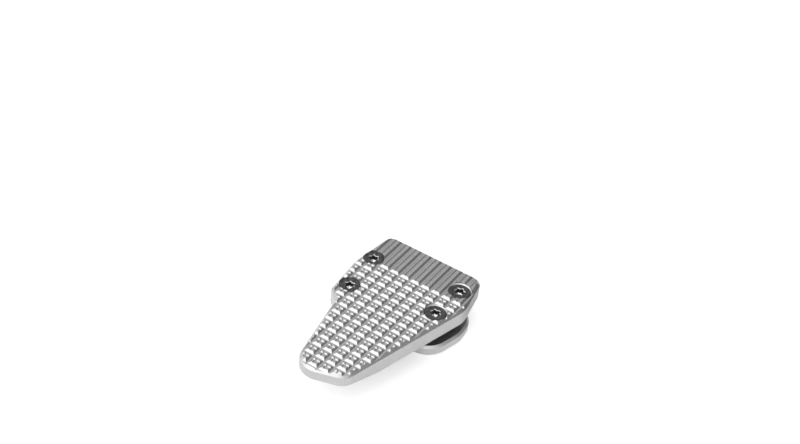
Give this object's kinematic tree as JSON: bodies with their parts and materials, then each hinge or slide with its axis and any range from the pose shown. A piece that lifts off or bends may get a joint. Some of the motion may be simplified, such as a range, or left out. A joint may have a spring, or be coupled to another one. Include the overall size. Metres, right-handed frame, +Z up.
{
  "type": "brake pedal extension",
  "caption": "Toothed metal foot pad extension that clamps onto a motorcycle brake pedal with countersunk screws and a backing plate.",
  "frame": {"origin": "below the middle of the part, in the plane of the clamp plate's underside", "axes": "+X across the tread, +Y from the tip to the rear edge that lies next to the pedal's arm, +Z up out of the teeth"},
  "size_m": [0.0522, 0.0868, 0.018],
  "materials": {
    "anodised": "bead-blasted and silver anodised, machined teeth",
    "blasted": "bead-blasted and silver anodised",
    "blackened": "blackened, satin"
  },
  "bodies": {
    "root": {"tread_plate": "anodised", "clamp_plate": "blasted", "screw_front_left": "blackened", "screw_front_right": "blackened", "screw_rear_left": "blackened", "screw_rear_right": "blackened"}
  },
  "joints": []
}
